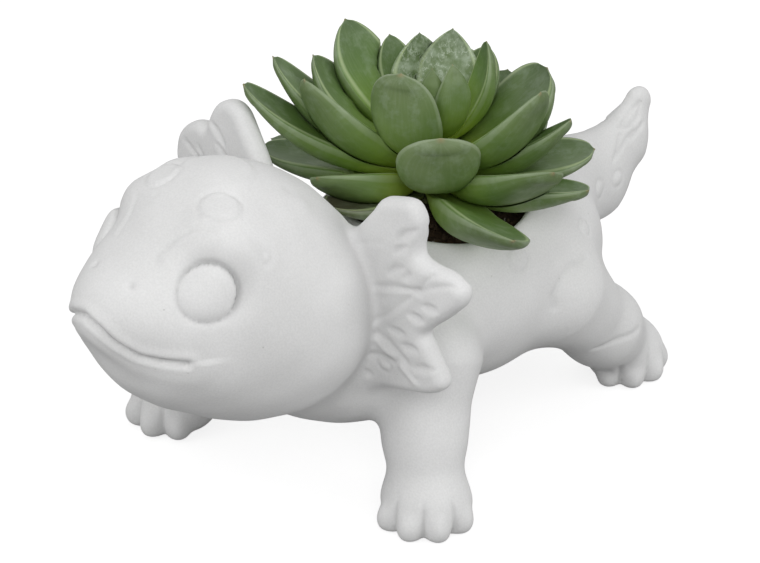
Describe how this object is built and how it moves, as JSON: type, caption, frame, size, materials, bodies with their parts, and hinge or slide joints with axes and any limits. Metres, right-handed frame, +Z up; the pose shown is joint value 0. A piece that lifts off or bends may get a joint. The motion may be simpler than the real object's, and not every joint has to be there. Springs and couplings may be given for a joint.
{
  "type": "planter",
  "caption": "Axolotl-shaped bisque ceramic planter on four legs, with a pot hollow in its back that holds a removable rosette succulent in soil.",
  "frame": {"origin": "bottom centre of the bounding box, on the plane of the four soles", "axes": "+Z up, +Y from the head towards the tail, +X to the animal's left"},
  "size_m": [0.1248, 0.215, 0.116],
  "materials": {
    "bisque": "matte unglazed white bisque with soft grain and small pinholes",
    "screen_mesh": "matte dark plastic mesh",
    "potting_soil": "crumbly dark brown potting soil",
    "stem": "fleshy brown-green stem",
    "leaf": "waxy satin green leaf, yellow-green near the base, pale edge",
    "inner_leaf": "pale glaucous green leaf with a powdery bloom"
  },
  "bodies": {
    "planter": {"planter_body": "bisque", "drain_screen": "screen_mesh"},
    "plant": {"root_ball": "potting_soil", "plant_stem": "stem", "leaf_outer_1": "leaf", "leaf_outer_2": "leaf", "leaf_outer_3": "leaf", "leaf_outer_4": "leaf", "leaf_outer_5": "leaf", "leaf_outer_6": "leaf", "leaf_outer_7": "leaf", "leaf_outer_8": "leaf", "leaf_outer_9": "leaf", "leaf_outer_10": "leaf", "leaf_lower_1": "leaf", "leaf_lower_2": "leaf", "leaf_lower_3": "leaf", "leaf_lower_4": "leaf", "leaf_lower_5": "leaf", "leaf_lower_6": "leaf", "leaf_middle_1": "leaf", "leaf_middle_2": "leaf", "leaf_middle_3": "leaf", "leaf_middle_4": "leaf", "leaf_middle_5": "leaf", "leaf_middle_6": "leaf", "leaf_upper_1": "leaf", "leaf_upper_2": "leaf", "leaf_upper_3": "leaf", "leaf_upper_4": "leaf", "leaf_upper_5": "leaf", "leaf_upper_6": "leaf", "leaf_inner_1": "inner_leaf", "leaf_inner_2": "inner_leaf", "leaf_core_1": "leaf", "leaf_core_2": "leaf", "rosette_heart": "inner_leaf"}
  },
  "joints": [
    {"name": "plant_lift", "type": "slide", "parent": "planter", "child": "plant", "axis": [0, 0, 1], "range_m": [0, 0.09]}
  ]
}
